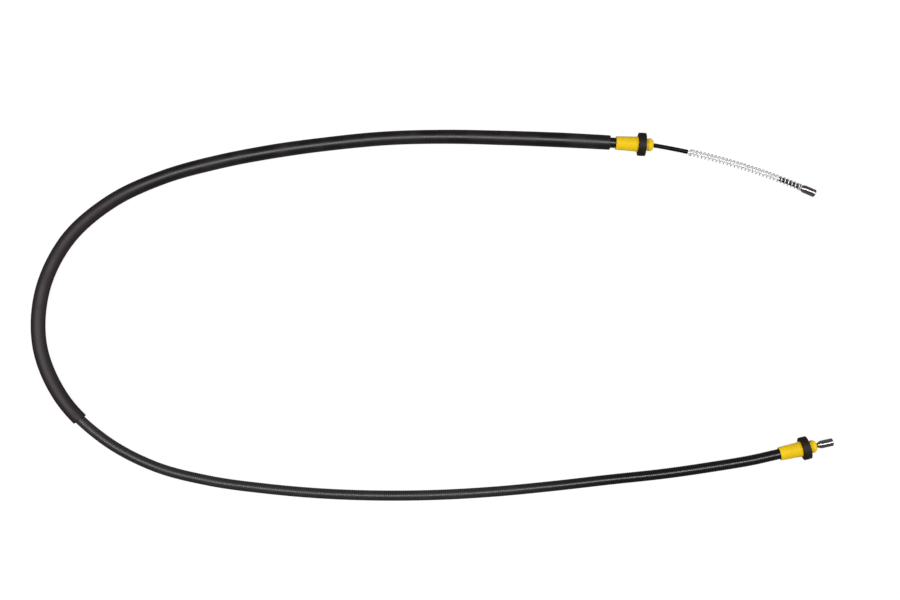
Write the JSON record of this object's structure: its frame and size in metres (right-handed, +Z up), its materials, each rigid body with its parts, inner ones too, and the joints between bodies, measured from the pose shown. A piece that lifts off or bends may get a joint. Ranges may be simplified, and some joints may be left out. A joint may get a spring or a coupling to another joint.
{
  "type": "parking brake cable",
  "caption": "Sheathed wire rope in an armoured conduit that carries a pull from a brake lever to a brake, with snap-in ends, seal rings, a return spring and nipples.",
  "frame": {"origin": "on the surface the cable lies on, under the middle of its bounding box", "axes": "+Z up from that surface, +X from the middle of the far bend towards the open side with the two ends, +Y from the lower end's side towards the upper end's side"},
  "size_m": [0.6802, 0.3154, 0.0196],
  "materials": {
    "hose_rubber": "smooth satin sheath with a soft sheen",
    "jacket_plastic": "satin extruded skin, faintly ribbed by the armour under it",
    "armour_steel": "drawn spring steel winding",
    "liner_plastic": "glossy extruded tube",
    "rope_steel": "stranded galvanised wire",
    "yellow_moulding": "satin moulded nylon",
    "ring_rubber": "matt moulded rubber",
    "ferrule_steel": "zinc plated, crimped",
    "spring_steel": "bright drawn spring wire",
    "sleeve_plastic": "plain cut tube",
    "nipple_steel": "swaged steel with a drawn grain"
  },
  "bodies": {
    "conduit": {"protective_hose": "hose_rubber", "conduit_jacket": "jacket_plastic", "conduit_armour": "armour_steel", "inner_liner": "liner_plastic", "rope_middle": "rope_steel", "upper_end_fitting": "yellow_moulding", "upper_seal_ring": "ring_rubber", "upper_crimp_ferrule": "ferrule_steel", "lower_end_fitting": "yellow_moulding", "lower_seal_ring": "ring_rubber", "lower_crimp_ferrule": "ferrule_steel"},
    "upper_tail": {"rope_upper_tail": "rope_steel", "return_spring": "spring_steel", "spring_sleeve": "sleeve_plastic", "upper_nipple": "nipple_steel"},
    "lower_tail": {"rope_lower_tail": "rope_steel", "lower_nipple": "nipple_steel"}
  },
  "joints": [
    {"name": "upper_draw_in", "type": "hinge", "parent": "conduit", "child": "upper_tail", "pos_m": [0.09997, -0.38396, -0.19162], "axis": [-0.0577, -0.3482, 0.9357], "range_deg": [0, 3.01]},
    {"name": "lower_pay_out", "type": "slide", "parent": "conduit", "child": "lower_tail", "axis": [0.9755, 0.2199, 0], "range_m": [0, 0.03]}
  ],
  "couplings": [
    {"joint": "lower_pay_out", "follows": "upper_draw_in", "m_per_rad": 0.57075}
  ]
}
